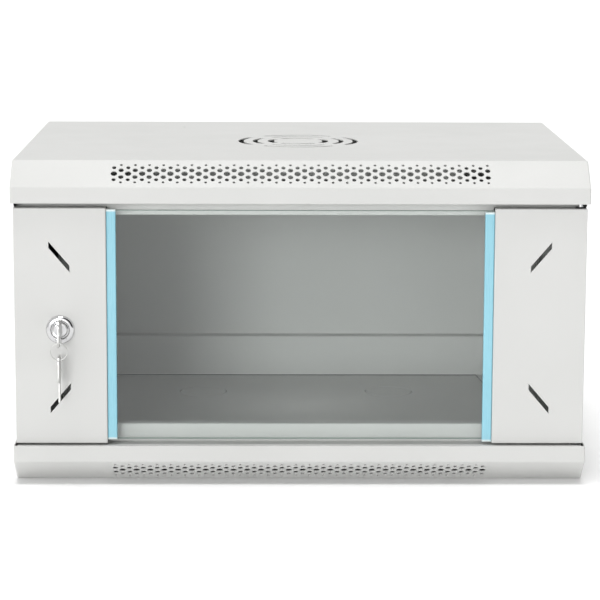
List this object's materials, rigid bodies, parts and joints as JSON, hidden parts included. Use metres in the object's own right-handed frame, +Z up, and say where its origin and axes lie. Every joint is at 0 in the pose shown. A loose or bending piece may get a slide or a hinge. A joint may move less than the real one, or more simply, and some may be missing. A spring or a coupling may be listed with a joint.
{
  "type": "wall rack cabinet",
  "caption": "Low wall-mount 19-inch network rack cabinet with a glass door in two steel stiles, keyed cam lock, perforated bevelled covers and a fan vent.",
  "frame": {"origin": "centre of the flat underside of the lower cover, which the cabinet stands on", "axes": "+X to the right seen from the door, +Y to the back (the wall), +Z up; the door faces -Y"},
  "size_m": [0.6, 0.475, 0.34],
  "materials": {
    "cabinet_steel": "light grey powder coat, fine satin texture",
    "zinc_steel": "bright zinc plated",
    "chrome": "polished chrome plate",
    "key_steel": "nickel plated",
    "glass": "clear tempered safety glass with a faint green tint",
    "blue_trim": "light blue extruded plastic",
    "nylon": "black nylon",
    "latch_zinc": "satin chrome plated zinc casting"
  },
  "bodies": {
    "cabinet": {"top_cover": "cabinet_steel", "bottom_cover": "cabinet_steel", "cover_screws": "zinc_steel", "bottom_frame": "cabinet_steel", "top_frame": "cabinet_steel", "front_left_post": "cabinet_steel", "front_right_post": "cabinet_steel", "rear_left_post": "cabinet_steel", "rear_right_post": "cabinet_steel", "back_panel": "cabinet_steel", "lower_rear_rail": "cabinet_steel", "upper_rear_rail": "cabinet_steel", "lower_left_bracket": "cabinet_steel", "upper_left_bracket": "cabinet_steel", "lower_right_bracket": "cabinet_steel", "upper_right_bracket": "cabinet_steel", "lower_hinge_pin": "zinc_steel", "upper_hinge_pin": "zinc_steel"},
    "door": {"door_left_stile": "cabinet_steel", "door_right_stile": "cabinet_steel", "door_glass": "glass", "left_glass_trim": "blue_trim", "right_glass_trim": "blue_trim", "left_glass_clamp": "zinc_steel", "right_glass_clamp": "zinc_steel", "clamp_nuts": "zinc_steel", "hinge_bushes": "nylon", "lock_body": "chrome", "lock_nut": "chrome"},
    "lock_plug": {"lock_cylinder": "chrome", "lock_cam": "zinc_steel", "cam_screw": "zinc_steel", "door_key": "key_steel"},
    "key_ring": {"key_ring": "key_steel"},
    "spare_key": {"spare_key": "key_steel"},
    "left_panel": {"left_side_panel": "cabinet_steel"},
    "left_latch": {"left_panel_latch": "latch_zinc"},
    "front_left_rail": {"front_left_rail": "cabinet_steel", "front_left_rail_bolts": "zinc_steel", "front_left_rail_nuts": "zinc_steel"},
    "rear_left_rail": {"rear_left_rail": "cabinet_steel", "rear_left_rail_bolts": "zinc_steel", "rear_left_rail_nuts": "zinc_steel"},
    "right_panel": {"right_side_panel": "cabinet_steel"},
    "right_latch": {"right_panel_latch": "latch_zinc"},
    "front_right_rail": {"front_right_rail": "cabinet_steel", "front_right_rail_bolts": "zinc_steel", "front_right_rail_nuts": "zinc_steel"},
    "rear_right_rail": {"rear_right_rail": "cabinet_steel", "rear_right_rail_bolts": "zinc_steel", "rear_right_rail_nuts": "zinc_steel"}
  },
  "joints": [
    {"name": "door_hinge", "type": "hinge", "parent": "cabinet", "child": "door", "pos_m": [0.291, -0.211, 0.17], "axis": [0, 0, 1], "range_deg": [0, 180]},
    {"name": "key_turn", "type": "hinge", "parent": "door", "child": "lock_plug", "pos_m": [-0.25, -0.21, 0.165], "axis": [0, 1, 0], "range_deg": [0, 90]},
    {"name": "ring_hang", "type": "hinge", "parent": "lock_plug", "child": "key_ring", "pos_m": [-0.25, -0.242, 0.1517], "axis": [0, 1, 0], "range_deg": [-90, 0]},
    {"name": "spare_key_swing", "type": "hinge", "parent": "key_ring", "child": "spare_key", "pos_m": [-0.25, -0.242, 0.1369], "axis": [1, 0, 0], "range_deg": [-60, 20]},
    {"name": "left_panel_tilt", "type": "hinge", "parent": "cabinet", "child": "left_panel", "pos_m": [-0.2995, 0, 0.043], "axis": [0, -1, 0], "range_deg": [0, 40]},
    {"name": "left_latch_turn", "type": "hinge", "parent": "left_panel", "child": "left_latch", "pos_m": [-0.29, 0, 0.27], "axis": [1, 0, 0], "range_deg": [0, 90]},
    {"name": "front_left_rail_slide", "type": "slide", "parent": "cabinet", "child": "front_left_rail", "axis": [0, 1, 0], "range_m": [-0.02, 0.06]},
    {"name": "rear_left_rail_slide", "type": "slide", "parent": "cabinet", "child": "rear_left_rail", "axis": [0, 1, 0], "range_m": [-0.06, 0.02]},
    {"name": "right_panel_tilt", "type": "hinge", "parent": "cabinet", "child": "right_panel", "pos_m": [0.2995, 0, 0.043], "axis": [0, 1, 0], "range_deg": [0, 40]},
    {"name": "right_latch_turn", "type": "hinge", "parent": "right_panel", "child": "right_latch", "pos_m": [0.29, 0, 0.27], "axis": [1, 0, 0], "range_deg": [0, 90]},
    {"name": "front_right_rail_slide", "type": "slide", "parent": "cabinet", "child": "front_right_rail", "axis": [0, 1, 0], "range_m": [-0.02, 0.06]},
    {"name": "rear_right_rail_slide", "type": "slide", "parent": "cabinet", "child": "rear_right_rail", "axis": [0, 1, 0], "range_m": [-0.06, 0.02]}
  ],
  "couplings": [
    {"joint": "ring_hang", "follows": "key_turn", "ratio": -1}
  ]
}
